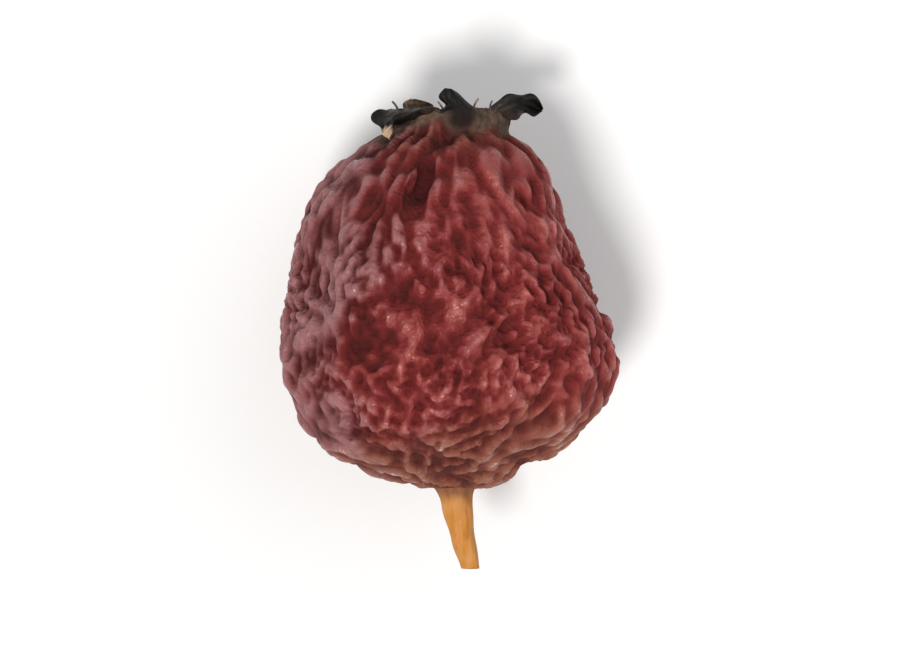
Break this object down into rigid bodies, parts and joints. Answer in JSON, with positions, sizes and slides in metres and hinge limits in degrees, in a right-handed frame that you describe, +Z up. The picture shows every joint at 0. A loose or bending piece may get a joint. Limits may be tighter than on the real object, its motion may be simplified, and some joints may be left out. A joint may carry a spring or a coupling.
{
  "type": "dried hawthorn berry",
  "caption": "Dried wrinkled haw lying on its side, with a short stem stub and a calyx crown of curled sepals around a hollow cup.",
  "frame": {"origin": "under the middle of the whole berry, on the surface that it lies on", "axes": "+Z up; +Y along the fruit's axis from the stem to the calyx crown; +X across it"},
  "size_m": [0.0078, 0.0112, 0.0072],
  "materials": {
    "skin": "dried, wrinkled, dull with a faint waxy sheen",
    "stem": "dry, amber, lengthwise grooves",
    "sepal": "dry and papery, dark at the tips",
    "style": "dry and matt"
  },
  "bodies": {
    "root": {"fruit": "skin", "stem": "stem", "sepal_1": "sepal", "sepal_2": "sepal", "sepal_3": "sepal", "sepal_4": "sepal", "sepal_5": "sepal", "style": "style"}
  },
  "joints": []
}
